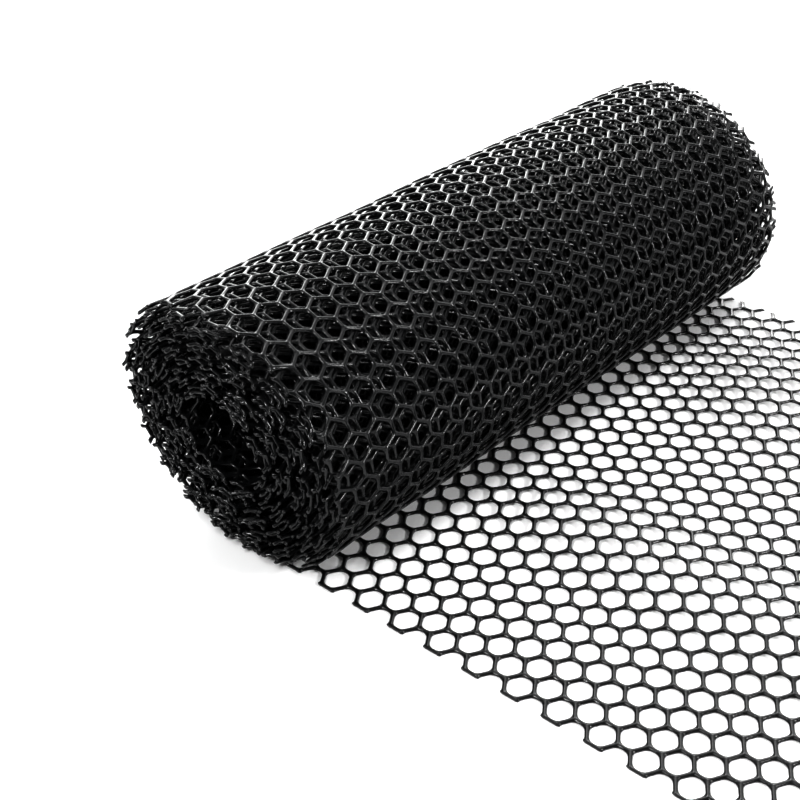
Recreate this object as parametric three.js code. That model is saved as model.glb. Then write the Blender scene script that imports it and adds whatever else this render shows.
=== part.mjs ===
// A partly unrolled roll of black hexagonal plastic netting, 0.4 m wide and about 5 m long in all.
// It is one strip of extruded net: most of it is wound into a soft, slightly oval roll with an open
// core, and the first 0.29 m lies loose in front. The roll rests on the floor along a small flat spot,
// and the loose sheet leaves it there, under the front of the roll.
// Millimetres, +X along the roll, +Y away from the loose sheet, +Z up.

import * as THREE from "three";

// Real net: cells in staggered rows, each with two walls that run along the strip.
const CELL_PITCH = 15.6; // across the strip
const ROW_PITCH = 11.05; // along the strip
const CELLS_ACROSS = 25;

// Wound roll
const ROLL_LENGTH = 395;
const LONG_RADIUS = 77.5; // half of the oval's long axis, at the near end
const SHORT_RADIUS = 66;
const LEAN = THREE.MathUtils.degToRad(28); // the long axis rises towards the back
const CORE_SHARE = 0.36; // open core, as a share of the oval
const FAR_GROWTH = 0.025; // the far end is wound this much thicker
const FLAT_DEPTH = 3.2; // how far the roll's own weight has flattened it
const LAP_STEP = 2.8; // one lap of net with the air between laps

// Main twists, which show as a spiral of ridges on both ends
const TWISTS = 4;
const TWIST_DEPTH = 5;
const FRONT_RECESS = 6; // the outer laps sit further in at the front of each end

// Loose sheet
const SHEET_THICKNESS = 2.2;
const SHEET_RUN = 285; // from the contact line to the cut edge
const SHEET_SKEW = THREE.MathUtils.degToRad(2); // it was pulled off a little askew
const SHEET_INSET = 6; // the sheet's near edge from the roll's near end
const CELL_SCALE = CELLS_ACROSS / 13; // the sheet is cut with 13 wider cells across
const STRAND_WIDTH = 4.4;
const FAR_STUB = 7; // cut strand ends that stand out along the far edge
const CUT_STUB = 3; // and along the cut edge
const WALL_SHARE = 0.58; // straight wall as a share of the row pitch
const GAP = 0.3;

// Soft waves of the sheet, along the strip: middle and half width in cell pitches from the near edge
const WAVES = [
  { middle: 8.1, halfWidth: 3.6, height: 3.0 },
  { middle: 20.1, halfWidth: 5.8, height: 3.0 },
];
const WAVE_START = 25; // the waves begin clear of the roll
const WAVE_RISE = 90;

// Mesh density
const STEPS_ROUND = 60;
const STEPS_DEEP = 16;
const STEPS_LONG = 5;

const netBlack = () =>
  new THREE.MeshStandardMaterial({ color: 0x17181a, roughness: 0.32, metalness: 0 });

// Collects points and triangles and turns them into one indexed geometry.
function meshBuilder() {
  const points = [];
  const triangles = [];
  return {
    point: (x, y, z) => points.push(x, y, z) / 3 - 1,
    triangle: (a, b, c) => triangles.push(a, b, c),
    quad: (a, b, c, d) => triangles.push(a, b, c, a, c, d),
    geometry() {
      const made = new THREE.BufferGeometry();
      made.setAttribute("position", new THREE.Float32BufferAttribute(points, 3));
      made.setIndex(triangles);
      made.computeVertexNormals();
      return made;
    },
  };
}

// The oval's half height, and how far its lowest point lies in front of its centre.
const HALF_HEIGHT = Math.hypot(LONG_RADIUS * Math.sin(LEAN), SHORT_RADIUS * Math.cos(LEAN));
const CONTACT_OFFSET =
  ((LONG_RADIUS ** 2 - SHORT_RADIUS ** 2) * Math.sin(LEAN) * Math.cos(LEAN)) / HALF_HEIGHT;
const CENTRE_HEIGHT = HALF_HEIGHT - FLAT_DEPTH;
const CONTACT_TURN = Math.atan2(CONTACT_OFFSET, HALF_HEIGHT);

// Radius of the oval in a direction given by its turn from straight down, through the front.
function ovalRadius(turn) {
  const y = -Math.sin(turn);
  const z = -Math.cos(turn);
  const along = y * Math.cos(LEAN) + z * Math.sin(LEAN);
  const across = z * Math.cos(LEAN) - y * Math.sin(LEAN);
  return 1 / Math.hypot(along / LONG_RADIUS, across / SHORT_RADIUS);
}

// A point of the section at share of a full turn and depth 0 (core) to 1 (outside). The outside is a
// spiral: it starts one lap in, over the loose sheet, and ends on the floor beside the sheet's root.
function sectionPoint(share, depth) {
  const turn = CONTACT_TURN + share * 2 * Math.PI;
  const inner = ovalRadius(turn) * CORE_SHARE;
  const outer = ovalRadius(turn) - LAP_STEP * (1 - share);
  const outerHeight = CENTRE_HEIGHT - outer * Math.cos(turn);
  const lowest = share < 0.5 ? SHEET_THICKNESS + GAP : 0;
  const squash = outerHeight < lowest ? (CENTRE_HEIGHT - lowest) / (CENTRE_HEIGHT - outerHeight) : 1;
  const radius = inner + (outer - inner) * depth;
  return {
    y: CONTACT_OFFSET - radius * Math.sin(turn),
    z: CENTRE_HEIGHT - radius * Math.cos(turn) * (1 + (squash - 1) * depth),
  };
}

// How far an end face lies behind its outermost plane.
function endRelief(share, depth) {
  const ridge = 0.5 - 0.5 * Math.cos(2 * Math.PI * (depth * TWISTS + share));
  const front = Math.max(0, Math.sin(2 * Math.PI * share + CONTACT_TURN));
  return TWIST_DEPTH * ridge + FRONT_RECESS * front * depth ** 2;
}

// The wound roll: inner and outer wall in STEPS_LONG bays, and two end faces with their twists.
function woundRoll() {
  const build = meshBuilder();
  const place = (along, share, depth) => {
    const { y, z } = sectionPoint(share, depth);
    const relief = endRelief(share, depth) * (1 - 2 * along);
    const ends = along === 0 || along === 1 ? relief : 0;
    const growth = 1 + FAR_GROWTH * along;
    return build.point(along * ROLL_LENGTH + ends, y * growth, z * growth);
  };
  const loop = (along, depth) =>
    Array.from({ length: STEPS_ROUND }, (_, i) => place(along, i / STEPS_ROUND, depth));

  // The outermost loop has one point more: it ends one lap below its first point.
  const rings = [];
  for (let k = 0; k <= STEPS_LONG; k++) {
    const along = k / STEPS_LONG;
    const outer = [...loop(along, 1), place(along, 1, 1)];
    rings.push({ core: loop(along, 0), outer });
  }
  for (let k = 0; k < STEPS_LONG; k++) {
    const [near, far] = [rings[k], rings[k + 1]];
    for (let i = 0; i < STEPS_ROUND; i++) {
      const next = (i + 1) % STEPS_ROUND;
      build.quad(near.outer[i], far.outer[i], far.outer[i + 1], near.outer[i + 1]);
      build.quad(near.core[i], near.core[next], far.core[next], far.core[i]);
    }
    build.quad(near.outer[STEPS_ROUND], far.outer[STEPS_ROUND], far.outer[0], near.outer[0]);
  }
  for (const [along, ring] of [[0, rings[0]], [1, rings[STEPS_LONG]]]) {
    const layers = [ring.core];
    for (let d = 1; d < STEPS_DEEP; d++) layers.push(loop(along, d / STEPS_DEEP));
    layers.push(ring.outer);
    const face = along === 0 ? build.quad : (a, b, c, d) => build.quad(d, c, b, a);
    for (let d = 0; d < STEPS_DEEP; d++)
      for (let i = 0; i < STEPS_ROUND; i++) {
        const next = (i + 1) % STEPS_ROUND;
        const outerNext = d === STEPS_DEEP - 1 ? i + 1 : next;
        face(layers[d][i], layers[d + 1][i], layers[d + 1][outerNext], layers[d][next]);
      }
    const root = layers[STEPS_DEEP - 1][0];
    const [top, bottom] = [ring.outer[0], ring.outer[STEPS_ROUND]];
    if (along === 0) build.triangle(root, bottom, top);
    else build.triangle(root, top, bottom);
  }
  return build.geometry();
}

// The sheet's strands as a graph in its own flat frame: u across the strip from its near edge, v along
// it from the contact line. Corners are counted in columns of half a pitch and in levels, two for each
// row, and every closed cell adds its six corners and walls once.
function netGraph() {
  const pitch = CELL_PITCH * CELL_SCALE;
  const row = ROW_PITCH * CELL_SCALE;
  const wall = (row * WALL_SHARE) / 2;
  const tip = row - wall;
  const across = Math.round(CELLS_ACROSS / CELL_SCALE);
  const room = SHEET_RUN - CUT_STUB - rootDistance(across * pitch) - 2 * tip;
  const rows = Math.floor(room / row) + 1;
  const first = SHEET_RUN - CUT_STUB - tip - (rows - 1) * row;

  const join = (a, b) => {
    a.links.add(b);
    b.links.add(a);
  };
  const corners = new Map();
  const cornerAt = (column, level) => {
    const key = `${column},${level}`;
    if (!corners.has(key)) {
      const u = (column * pitch) / 2;
      const v = first + Math.floor(level / 2) * row + (level % 2 === 0 ? -wall : wall);
      corners.set(key, { u, v, column, level, links: new Set() });
    }
    return corners.get(key);
  };
  const AROUND_CELL = [[-1, 0], [0, -1], [1, 0], [1, 1], [0, 2], [-1, 1]]; // columns and levels
  for (let j = 0; j < rows; j++) {
    const odd = j % 2;
    for (let i = 0; i < across - odd; i++) {
      const cell = AROUND_CELL.map(([side, step]) => cornerAt(2 * i + 1 + odd + side, 2 * j + step));
      cell.forEach((corner, k) => join(corner, cell[(k + 1) % 6]));
    }
  }

  // Cut ends: towards the root, along the cut edge, and along the far edge of the strip.
  const ends = [];
  const endAt = (node, u, v) => {
    const end = { u, v, links: new Set() };
    ends.push(end);
    join(node, end);
  };
  for (const node of corners.values()) {
    if (node.level === -1) endAt(node, node.u, rootDistance(node.u));
    if (node.level === 2 * rows) endAt(node, node.u, SHEET_RUN);
    if (node.column === 2 * across) {
      const side = node.level % 2 === 0 ? -1 : 1;
      const slope = (tip - wall) / (pitch / 2);
      endAt(node, node.u + FAR_STUB, node.v + side * slope * FAR_STUB);
    }
  }
  return [...corners.values(), ...ends];
}

// Where a strand at u meets the roll's step, which the skewed strip reaches sooner at its far edge.
function rootDistance(u) {
  return u * Math.tan(SHEET_SKEW) + GAP / Math.cos(SHEET_SKEW);
}

// The flat frame laid on the floor, with the strip's soft waves.
function sheetPoint(u, v, lift) {
  const fade = THREE.MathUtils.smoothstep(v, WAVE_START, WAVE_START + WAVE_RISE);
  let height = 0;
  for (const wave of WAVES) {
    const off = (u / CELL_PITCH - wave.middle) / wave.halfWidth;
    if (Math.abs(off) < 1) height += wave.height * (0.5 + 0.5 * Math.cos(Math.PI * off));
  }
  return [
    SHEET_INSET + u * Math.cos(SHEET_SKEW) + v * Math.sin(SHEET_SKEW),
    u * Math.sin(SHEET_SKEW) - v * Math.cos(SHEET_SKEW),
    height * fade + lift,
  ];
}

// Corner points around a node, one between each two strands that leave it, so that each strand keeps
// its width up to the joint. A cut end has two corners, square to its strand.
function jointCorners(node) {
  const strands = [...node.links]
    .map((other) => {
      const length = Math.hypot(other.u - node.u, other.v - node.v);
      const du = (other.u - node.u) / length;
      const dv = (other.v - node.v) / length;
      return { other, du, dv, angle: Math.atan2(dv, du) };
    })
    .sort((a, b) => a.angle - b.angle);
  const half = STRAND_WIDTH / 2;
  if (strands.length === 1) {
    const [{ du, dv }] = strands;
    return { strands, corners: [[-dv * half, du * half], [dv * half, -du * half]] };
  }
  const corners = strands.map((a, k) => {
    const b = strands[(k + 1) % strands.length];
    const sine = a.du * b.dv - a.dv * b.du;
    if (Math.abs(sine) < 1e-3) return [-a.dv * half, a.du * half];
    return [((a.du + b.du) * half) / sine, ((a.dv + b.dv) * half) / sine];
  });
  return { strands, corners };
}

// The loose sheet as one solid of flat strands, open in every cell.
function looseSheet() {
  const build = meshBuilder();
  const nodes = netGraph();
  for (const node of nodes) {
    const { strands, corners } = jointCorners(node);
    const pairs = corners.map(([du, dv]) => {
      const [u, v] = [node.u + du, node.v + dv];
      const low = build.point(...sheetPoint(u, v, 0));
      return { low, top: build.point(...sheetPoint(u, v, SHEET_THICKNESS)) };
    });
    node.mouth = new Map(
      strands.map(({ other }, k) => {
        const count = pairs.length;
        return [other, { left: pairs[k], right: pairs[(k + count - 1) % count] }];
      }),
    );
    if (pairs.length === 3) {
      const [a, b, c] = pairs;
      build.triangle(a.low, b.low, c.low);
      build.triangle(a.top, c.top, b.top);
    }
    if (strands.length === 1) {
      const [left, right] = pairs;
      build.quad(left.top, right.top, right.low, left.low);
    }
  }
  for (const node of nodes)
    for (const [other, near] of node.mouth) {
      const far = other.mouth.get(node);
      build.quad(near.right.top, far.left.top, far.left.low, near.right.low);
      if (node.u < other.u || (node.u === other.u && node.v < other.v)) {
        build.quad(near.left.top, far.right.top, far.left.top, near.right.top);
        build.quad(near.right.low, far.left.low, far.right.low, near.left.low);
      }
    }
  return build.geometry();
}

function piece(name, geometry) {
  const mesh = new THREE.Mesh(geometry, netBlack());
  mesh.name = name;
  return mesh;
}

const part = new THREE.Group();
part.name = "netting_roll";
part.add(piece("wound_roll", woundRoll()));
part.add(piece("loose_sheet", looseSheet()));

// The origin is the middle of the whole part's footprint, on the floor.
const extent = new THREE.Box3().setFromObject(part);
for (const mesh of part.children) {
  mesh.position.x = -(extent.min.x + extent.max.x) / 2;
  mesh.position.y = -(extent.min.y + extent.max.y) / 2;
}

export default part;
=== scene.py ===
"""A partly unrolled roll of black hexagonal plastic netting, on a plain pale floor."""

import math

import bmesh
import bpy
from mathutils import Euler, Matrix, Vector, noise


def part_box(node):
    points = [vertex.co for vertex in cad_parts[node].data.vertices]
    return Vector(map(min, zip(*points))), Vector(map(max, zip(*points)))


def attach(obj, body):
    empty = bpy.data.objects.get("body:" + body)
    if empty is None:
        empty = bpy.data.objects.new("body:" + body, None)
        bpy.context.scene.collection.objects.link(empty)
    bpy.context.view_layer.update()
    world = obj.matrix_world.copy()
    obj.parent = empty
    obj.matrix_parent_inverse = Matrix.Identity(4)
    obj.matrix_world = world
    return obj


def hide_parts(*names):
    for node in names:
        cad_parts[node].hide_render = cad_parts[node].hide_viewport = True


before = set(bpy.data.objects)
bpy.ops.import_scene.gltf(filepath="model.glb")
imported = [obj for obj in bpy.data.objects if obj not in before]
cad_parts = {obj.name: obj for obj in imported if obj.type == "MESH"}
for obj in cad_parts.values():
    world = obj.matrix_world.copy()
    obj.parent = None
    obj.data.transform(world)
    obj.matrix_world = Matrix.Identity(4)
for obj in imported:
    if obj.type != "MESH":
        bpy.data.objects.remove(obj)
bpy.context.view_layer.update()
MM = 0.001


# Loose net: the first 0.28 m of the strip, which lies on the floor in front of the roll. The net
# is extruded from polyethylene in one go, strands and joints together. Each cell has two straight
# walls along the strip, and both edges are cut through the cells, so that short stubs stand out.
CELL = 15.6 * MM  # across the strip, from wall to wall
ROW = 11.09 * MM  # along the strip, from one row of cells to the next
WALL = 6.4 * MM  # length of a cell's straight wall
STRAND = 1.95 * MM  # width of a strand
THICK = 1.85 * MM
FLANK = 0.4  # how thick a strand is at its sides, as a share of its middle
CELLS_ACROSS = 25
NEAR_STUB = 0.7 * MM  # the knife ran close along the near edge, and a little askew
KNIFE_DRIFT = 0.0028  # sideways, for each metre of strip
FAR_STUB = 6.4 * MM
STRIP_WIDTH = CELLS_ACROSS * CELL
ROW_ZERO = -4.07 * MM  # the middle of row 0, from the line where the roll meets the floor
DRAWN_UNEVENLY = 0.35 * MM  # how far a joint strays as the net is drawn out
UNEVEN_LENGTH = 24 * MM
UNEVEN_SEED = 7  # without one, noise_vector is seeded from the clock and every run differs
MERGE_DISTANCE = 0.01 * MM

EXTRUDED_BLACK_SHADES = ("#0f1011", "#1b1c1d")
FLOW_LINES = 1.1 * MM  # real ones are nearer 0.2 mm, too fine to show
FLOW_DEPTH = 0.2 * MM
DULL_PATCHES = 35 * MM
PATCH_SPAN = (0.3, 0.7)  # the part of the noise that runs from glossy to dull
GLOSSY_TO_DULL = (0.14, 0.26)  # roughness


def linear(colour):
    """A colour written in sRGB hex, as the linear values that a shader takes."""
    shares = [int(colour[k : k + 2], 16) / 255 for k in (1, 3, 5)]
    return [c / 12.92 if c <= 0.04045 else ((c + 0.055) / 1.055) ** 2.4 for c in shares] + [1]


def node(tree, kind, links=(), **settings):
    """Adds a node, sets its properties or inputs by name, and links (output, input name) pairs."""
    made = tree.nodes.new(kind)
    for name, value in settings.items():
        if hasattr(made, name):
            setattr(made, name, value)
        else:
            made.inputs[name.replace("_", " ")].default_value = value
    for output, name in links:
        tree.links.new(output, made.inputs[name])
    return made


def extruded_polyethylene():
    """Black right through, glossy from the die, with flow lines and patches dulled by hands."""
    made = bpy.data.materials.new("extruded_black_polyethylene")
    made.use_nodes = True
    tree = made.node_tree
    tree.nodes.clear()
    flat = node(tree, "ShaderNodeTexCoord").outputs["UV"]
    patches = node(
        tree, "ShaderNodeTexNoise", [(flat, "Vector")], Scale=1 / DULL_PATCHES, Detail=3.0
    ).outputs["Fac"]
    gloss = node(
        tree, "ShaderNodeMapRange", [(patches, "Value")],
        From_Min=PATCH_SPAN[0], From_Max=PATCH_SPAN[1],
        To_Min=GLOSSY_TO_DULL[0], To_Max=GLOSSY_TO_DULL[1],
    )
    shade = node(tree, "ShaderNodeValToRGB", [(patches, "Fac")])
    for stop, colour in zip(shade.color_ramp.elements, EXTRUDED_BLACK_SHADES):
        stop.color = linear(colour)
    lines = node(tree, "ShaderNodeTexNoise", [(flat, "Vector")], Scale=1 / FLOW_LINES, Detail=2.0)
    relief = node(
        tree, "ShaderNodeBump", [(lines.outputs["Fac"], "Height")],
        Strength=0.25, Distance=FLOW_DEPTH,
    )
    skin = node(
        tree, "ShaderNodeBsdfPrincipled",
        [
            (shade.outputs["Color"], "Base Color"),
            (gloss.outputs["Result"], "Roughness"),
            (relief.outputs["Normal"], "Normal"),
        ],
        IOR=1.51,
    )
    node(tree, "ShaderNodeOutputMaterial", [(skin.outputs["BSDF"], "Surface")])
    return made


net_plastic = extruded_polyethylene()
noise.seed_set(UNEVEN_SEED)


def hexagon(net, inset, filled):
    """The outline of a cell, moved in on all sides. Two of its corners point along the strip."""
    slope = (ROW - WALL) / (CELL / 2)
    side = CELL / 2 - inset
    tip = ROW - WALL / 2 - inset * math.hypot(1, slope)
    corners = bmesh.ops.create_circle(net, cap_ends=filled, segments=6, radius=1)["verts"]
    for v in corners:
        at_tip = abs(v.co.x) < 0.5
        v.co.y = math.copysign(tip if at_tip else tip - slope * side, v.co.y)
        v.co.x = 0 if at_tip else math.copysign(side, v.co.x)
    return corners


def flat_net(first, last, corner_steps, corner_round, near_stub, far_stub, knife_drift):
    """The strip between two of its rows, flat, x across it and y along it. Rows may be fractions.

    Each point has a weight, its share of the full thickness, so that the strands come out rounded.
    """
    net = bmesh.new()
    thickness = net.verts.layers.deform.verify()
    opening = hexagon(net, STRAND / 2, filled=True)
    if corner_steps:
        bmesh.ops.bevel(
            net, geom=opening, offset=corner_round, offset_type="OFFSET", segments=corner_steps,
            profile=0.5, affect="VERTICES", material=-1,
        )
    bmesh.ops.delete(net, geom=net.faces[:], context="FACES_ONLY")
    for v in net.verts:
        v[thickness][0] = FLANK
    for v in hexagon(net, 0, filled=False):
        v[thickness][0] = 1
    bmesh.ops.bridge_loops(net, edges=net.edges[:])

    def everything():
        return net.verts[:] + net.edges[:] + net.faces[:]

    def repeat(step, times):
        piece = everything()
        for k in range(1, times):
            made = bmesh.ops.duplicate(net, geom=piece)["geom"]
            moved = [e for e in made if isinstance(e, bmesh.types.BMVert)]
            bmesh.ops.translate(net, verts=moved, vec=Vector(step) * k)

    start = 2 * math.floor(first / 2) - 2
    bmesh.ops.translate(net, verts=net.verts, vec=(-CELL / 2, start * ROW, 0))
    repeat((CELL / 2, ROW, 0), 2)
    repeat((CELL, 0, 0), CELLS_ACROSS + 2)
    repeat((0, 2 * ROW, 0), math.ceil((last - start) / 2) + 2)
    bmesh.ops.remove_doubles(net, verts=net.verts, dist=MERGE_DISTANCE)
    for point, outwards in (
        ((-near_stub, 0, 0), (-1, -knife_drift, 0)),
        ((STRIP_WIDTH + far_stub, 0, 0), (1, 0, 0)),
        ((0, first * ROW, 0), (0, -1, 0)),
        ((0, last * ROW, 0), (0, 1, 0)),
    ):
        bmesh.ops.bisect_plane(
            net, geom=everything(), dist=1e-6, plane_co=point, plane_no=outwards, clear_outer=True
        )

    flat = net.loops.layers.uv.new("UVMap")
    for face in net.faces:
        for loop in face.loops:
            loop[flat].uv = loop.vert.co.xy
    for v in net.verts:
        drift = noise.noise_vector(v.co / UNEVEN_LENGTH)
        v.co += Vector((drift.x * DRAWN_UNEVENLY, ROW_ZERO + drift.y * DRAWN_UNEVENLY, 0))
    return net


def net_piece(name, node_name, rows, place, cuts, corners=(0, 0)):
    """The strip between two rows, laid point by point, given its thickness, hung on the root body
    and shown in place of its part from model.glb.
    """
    net = flat_net(*rows, *corners, *cuts)
    for v in net.verts:
        v.co = place(v.co.x, v.co.y)
    mesh = bpy.data.meshes.new(name)
    net.to_mesh(mesh)
    net.free()
    mesh.shade_smooth()
    mesh.materials.append(net_plastic)
    piece = bpy.data.objects.new(name, mesh)
    bpy.context.scene.collection.objects.link(piece)
    section = piece.vertex_groups.new(name="section")
    thickness = piece.modifiers.new("strand_thickness", "SOLIDIFY")
    thickness.thickness = THICK
    thickness.offset = 0
    thickness.vertex_group = section.name
    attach(piece, "root")
    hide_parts(node_name)


NEAR_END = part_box("wound_roll")[0].x
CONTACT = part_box("loose_sheet")[1].y  # the line where the roll meets the floor
SKEW = math.radians(2)  # the strip was pulled off a little askew
INSET = 6 * MM  # its near edge from the roll's near end
CUT_ROW = -25.33  # where the straight cut at the loose end lies
WAVES = ((8.1, 3.6, 3.0), (20.1, 5.8, 3.0))  # middle and half width in cells, and height in mm
WAVES_START = 25 * MM  # in front of the contact line, where the waves begin
WAVES_RISE = 90 * MM  # and along this much of the strip they reach their height


def on_floor(across, run):
    """A point of the loose net, run being how far it lies behind the contact line."""
    fade = min(1, max(0, (-run - WAVES_START) / WAVES_RISE))
    height = THICK / 2
    for middle, half_width, top in WAVES:
        off = min(1, abs(across / CELL - middle) / half_width)
        height += top * MM * (0.5 + 0.5 * math.cos(math.pi * off)) * fade**2 * (3 - 2 * fade)
    return Vector((
        NEAR_END + INSET + across * math.cos(SKEW) - run * math.sin(SKEW),
        CONTACT + across * math.sin(SKEW) + run * math.cos(SKEW),
        height,
    ))


net_piece(
    "loose_net", "loose_sheet", (CUT_ROW, 0), on_floor,
    cuts=(NEAR_STUB, FAR_STUB, KNIFE_DRIFT), corners=(3, 2.0 * MM),
)


# Outer laps: the strip goes on under the roll, up its back, over the top and down its front. The
# roll is wound softly, so its section is an oval that leans back, and its own weight flattens it a
# little where it rests. The laps show through each other.
LONG_RADIUS = 77.5 * MM
SHORT_RADIUS = 66 * MM
LEAN = math.radians(28)
CORE_SHARE = 0.36  # of the roll's radius is open core
FAR_GROWTH = 0.025  # how much thicker the roll is at its far end
FLAT_DEPTH = 3.2 * MM
LAPS = 22.5
LAP_CUTS = (2.4 * MM, 3.2 * MM, 0)  # the stubs at the roll's near and far ends
PRESSED_STEP = 1.65 * MM  # from lap to lap where the roll's weight presses them together
PRESSED_EASE = 1.0 * MM  # rounds the edge of the flat spot
SKEW_RUN = 230 * MM  # the skew of the loose net dies out along this much of the wound strip
FRONT_RECESS = 6 * MM  # how far the outer laps stand back at the front of the near end
LAP_SHIFT = 2.2 * MM  # how far a lap's edges stray along the roll
SHIFT_ROUND = 0.7  # how fast that changes round a lap
SHIFT_PER_LAP = 1.9  # and from lap to lap
NEAR_SPREAD = 5 * MM  # how far the inner laps stand out past the outermost one, at each end
FAR_SPREAD = 12 * MM
SPREAD_LAPS = 2.5
NEAR_LEAN = 3.5 * MM  # the near end leans, out at the top and in at the bottom
LEAN_LAPS = 0.25  # and reaches its lean in this much of the first lap
FRAY = 1.7 * MM  # how far the strands at an end bend out of line
FRAY_REACH = 20 * MM
FRAY_LENGTH = 9 * MM
FRAY_RUN = SKEW_RUN / 4  # the fray grows along this much of the wound strip
BULGE = 0.9 * MM  # how far a lap bulges in or out
BULGE_LENGTH = 60 * MM
BULGE_ROUND = 1.1
BULGE_PER_LAP = 0.3

HALF_HEIGHT = math.hypot(LONG_RADIUS * math.sin(LEAN), SHORT_RADIUS * math.cos(LEAN))
CONTACT_OFFSET = (LONG_RADIUS**2 - SHORT_RADIUS**2) * math.sin(LEAN) * math.cos(LEAN) / HALF_HEIGHT
CENTRE_HEIGHT = HALF_HEIGHT - FLAT_DEPTH
CONTACT_TURN = math.atan2(CONTACT_OFFSET, HALF_HEIGHT)


def lap_radius(angle):
    """From the roll's centre to the strip's middle surface, angle being how far it has wound."""
    turn = CONTACT_TURN - angle
    y, z = -math.sin(turn), -math.cos(turn)
    along = y * math.cos(LEAN) + z * math.sin(LEAN)
    athwart = z * math.cos(LEAN) - y * math.sin(LEAN)
    oval = 1 / math.hypot(along / LONG_RADIUS, athwart / SHORT_RADIUS)
    return oval * (1 - (1 - CORE_SHARE) * angle / (2 * math.pi * LAPS)) - THICK / 2


def wound_lengths():
    """How much strip is wound at each degree, from the contact line to the core."""
    step = math.radians(1)
    lengths = [0]
    while len(lengths) < LAPS * 360 + 1:
        angle = (len(lengths) - 1) * step
        near, far = lap_radius(angle), lap_radius(angle + step)
        lengths.append(lengths[-1] + math.hypot((near + far) / 2 * step, far - near))
    return lengths


WOUND = wound_lengths()


def wound_angle(run):
    """How far the strip has wound after a length of it."""
    if run < 0:
        return run / lap_radius(0)
    low, high = 0, len(WOUND) - 1
    while high - low > 1:
        middle = (low + high) // 2
        if WOUND[middle] <= run:
            low = middle
        else:
            high = middle
    return math.radians(low + (run - WOUND[low]) / (WOUND[high] - WOUND[low]))


def on_roll(across, run):
    """A point of the wound net."""
    fade = max(0, 1 - run / SKEW_RUN)
    angle = wound_angle(run + across * math.sin(SKEW) * fade)
    turn = CONTACT_TURN - angle
    lap = angle / (2 * math.pi)
    circle = Vector((math.cos(turn), math.sin(turn), 0))
    drift = math.sin(SKEW) * (run if fade == 1 else SKEW_RUN * (1 - fade * fade) / 2)
    shift = LAP_SHIFT * noise.noise(circle * SHIFT_ROUND + Vector((0, 0, lap * SHIFT_PER_LAP)))
    recess = FRONT_RECESS * max(0, math.sin(turn)) * (1 - lap / LAPS) ** 2
    share = across / STRIP_WIDTH
    spread = min(1, lap / SPREAD_LAPS) * (FAR_SPREAD * share - NEAR_SPREAD * (1 - share))
    lean = NEAR_LEAN * math.cos(turn) * min(1, lap / LEAN_LAPS)
    x = INSET + across - drift + shift + spread + (recess + lean) * (1 - share)
    bulge = noise.noise(
        Vector((x / BULGE_LENGTH, 0, lap * BULGE_PER_LAP)) + circle * BULGE_ROUND
    )
    to_end = min(across, STRIP_WIDTH - across)
    bent = max(0, 1 - max(0, to_end) / FRAY_REACH) * min(1, run / FRAY_RUN)
    fray = FRAY * bent * noise.noise_vector(Vector((across, run, 0)) / FRAY_LENGTH)
    growth = 1 + FAR_GROWTH * share
    radius = lap_radius(angle) + BULGE * bulge
    y = (CONTACT_OFFSET - radius * math.sin(turn)) * growth + fray.y
    z = (CENTRE_HEIGHT - radius * math.cos(turn)) * growth + fray.z
    x += fray.x
    lowest = THICK / 2 + PRESSED_STEP * lap
    clear = z - lowest
    z = lowest + (clear + math.hypot(clear, PRESSED_EASE)) / 2
    return Vector((NEAR_END + x, CONTACT + y, z))


def row_at(angle_in_laps):
    """The row whose middle comes nearest to that many laps."""
    return round((WOUND[round(angle_in_laps * 360)] - ROW_ZERO) / ROW)


lap_starts = [0, row_at(1), row_at(2)]
for name, rows in zip(("outer_lap", "second_lap"), zip(lap_starts, lap_starts[1:])):
    net_piece(
        name, "wound_roll", rows, on_roll,
        cuts=LAP_CUTS, corners=(2, 1.8 * MM),
    )


# Inner laps: the rest of the strip, which shows through the outer laps and at both ends of the
# roll. It closes round the open core, and its inner end is tucked against the last lap.
INNER_LAPS = (2, 6, 11, 16, LAPS)  # where each piece ends and the next goes on
lap_starts = [row_at(lap) for lap in INNER_LAPS]
for name, rows in zip(
    ("third_laps", "middle_laps", "deep_laps", "core_laps"), zip(lap_starts, lap_starts[1:])
):
    net_piece(
        name, "wound_roll", rows, on_roll, cuts=LAP_CUTS
    )


# Floor, light and camera: a plain white floor, a studio that is bright low down behind the far end
# and dark on the side away from it, three soft square lamps, and the photograph's viewing angle,
# from above the near end of the roll.
FLOOR_WHITE = "#f4f4f4"
FLOOR_HALF = 30.0  # metres from its middle to its edge
BRIGHT_SIDE = Vector((0.75, 0.62, 0.22))  # where the studio is brightest, low behind the far end
STUDIO = 9  # how strong it is there
STUDIO_LEVELS = (  # from the side away from it, and the light there as a share of the brightest
    (0.2, 0.02), (0.41, 0.04), (0.63, 0.07), (0.845, 0.21), (0.92, 0.42), (0.968, 0.86), (0.984, 1),
)
LAMPS = {  # the way to each lamp, its distance and size in metres, and its power in watts
    "key": ((0.24, -0.8, 0.56), 1.5, 0.21, 14),  # draws the streaks on the strands
    "glint": ((-0.66, -0.08, 0.58), 1.5, 0.17, 9),  # and those on the near end
    "fill": ((-0.5, -0.1, 0.86), 1.8, 0.8, 11),
}
GAMMA = 0.68  # the photograph's hard contrast

floor_mesh = bpy.data.meshes.new("floor")
floor_shape = bmesh.new()
bmesh.ops.create_grid(floor_shape, x_segments=1, y_segments=1, size=FLOOR_HALF)
floor_shape.to_mesh(floor_mesh)
floor_shape.free()
floor = bpy.data.objects.new("floor", floor_mesh)
bpy.context.scene.collection.objects.link(floor)
matte = bpy.data.materials.new("matte_white_card")
matte.use_nodes = True
matte.node_tree.nodes.clear()
card = node(matte.node_tree, "ShaderNodeBsdfDiffuse", Color=linear(FLOOR_WHITE), Roughness=0.5)
node(matte.node_tree, "ShaderNodeOutputMaterial", [(card.outputs["BSDF"], "Surface")])
floor_mesh.materials.append(matte)

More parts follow.
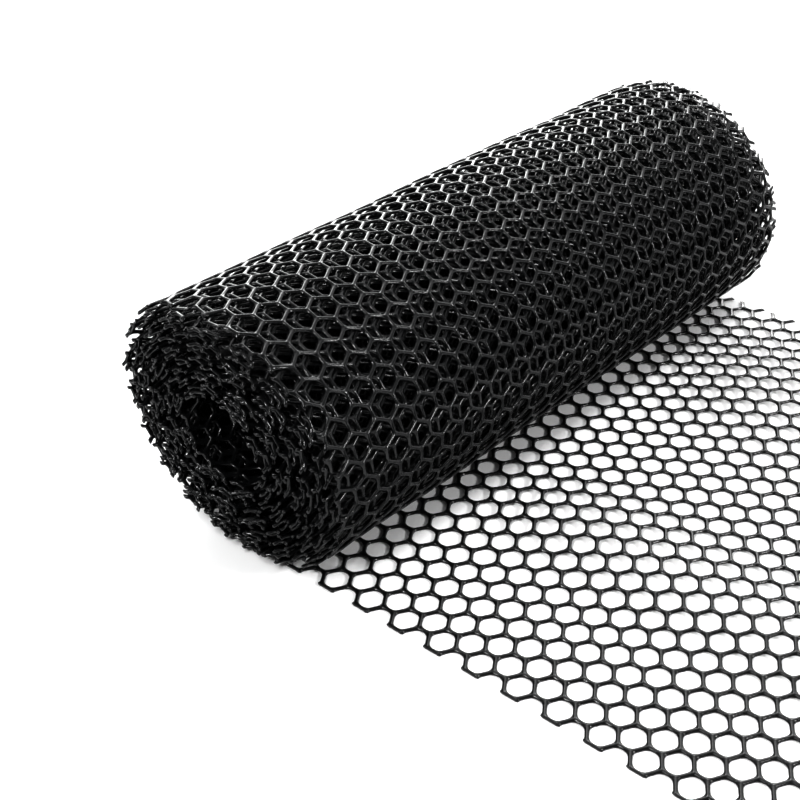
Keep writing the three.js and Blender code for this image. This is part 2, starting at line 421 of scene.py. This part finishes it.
world = bpy.data.worlds.new("white_studio")
bpy.context.scene.world = world
world.use_nodes = True
world.node_tree.nodes.clear()
direction = node(world.node_tree, "ShaderNodeTexCoord").outputs["Generated"]
turned = node(
    world.node_tree, "ShaderNodeMapping", [(direction, "Vector")],
    Rotation=BRIGHT_SIDE.rotation_difference(Vector((1, 0, 0))).to_euler(),
    Scale=(0.5, 0.5, 0.5), Location=(0.5, 0, 0),
)
level = node(world.node_tree, "ShaderNodeTexGradient", [(turned.outputs["Vector"], "Vector")])
levels = node(world.node_tree, "ShaderNodeValToRGB", [(level.outputs["Fac"], "Fac")])
stops = levels.color_ramp.elements
for position, _ in STUDIO_LEVELS[1:-1]:
    stops.new(position)
for stop, (position, share) in zip(stops, STUDIO_LEVELS):
    stop.position = position
    stop.color = (share, share, share, 1)
sky = node(
    world.node_tree, "ShaderNodeBackground", [(levels.outputs["Color"], "Color")], Strength=STUDIO
)
node(world.node_tree, "ShaderNodeOutputWorld", [(sky.outputs["Background"], "Surface")])

for name, (side, distance, size, power) in LAMPS.items():
    light = bpy.data.lights.new(name, "AREA")
    light.size = size
    light.energy = power
    lamp = bpy.data.objects.new(name, light)
    bpy.context.scene.collection.objects.link(lamp)
    side = Vector(side).normalized()
    turn = side.to_track_quat("Z", "Y").to_matrix().to_4x4()
    lamp.matrix_world = Matrix.Translation(side * distance) @ turn
view = bpy.context.scene.view_settings
view.view_transform = "Standard"
view.gamma = GAMMA

CAMERA_SPOT = Vector((-362.5, -413.4, 455.1)) * MM  # from the near end of the contact line
AZIMUTH = math.radians(-49.0)
ELEVATION = math.radians(33.2)
TILT = math.radians(1.67)
lens = bpy.data.cameras.new("camera")
lens.sensor_width = 36
lens.lens = 62.7
lens.shift_x = 0.0019
lens.shift_y = -0.0081
lens.clip_start = 0.01
lens.clip_end = 100
camera = bpy.data.objects.new("camera", lens)
bpy.context.scene.collection.objects.link(camera)
heading = Euler((math.pi / 2 - ELEVATION, 0, AZIMUTH)).to_matrix() @ Matrix.Rotation(TILT, 3, "Z")
camera.matrix_world = Matrix.Translation(
    Vector((NEAR_END, CONTACT, 0)) + CAMERA_SPOT
) @ heading.to_4x4()
bpy.context.scene.camera = camera
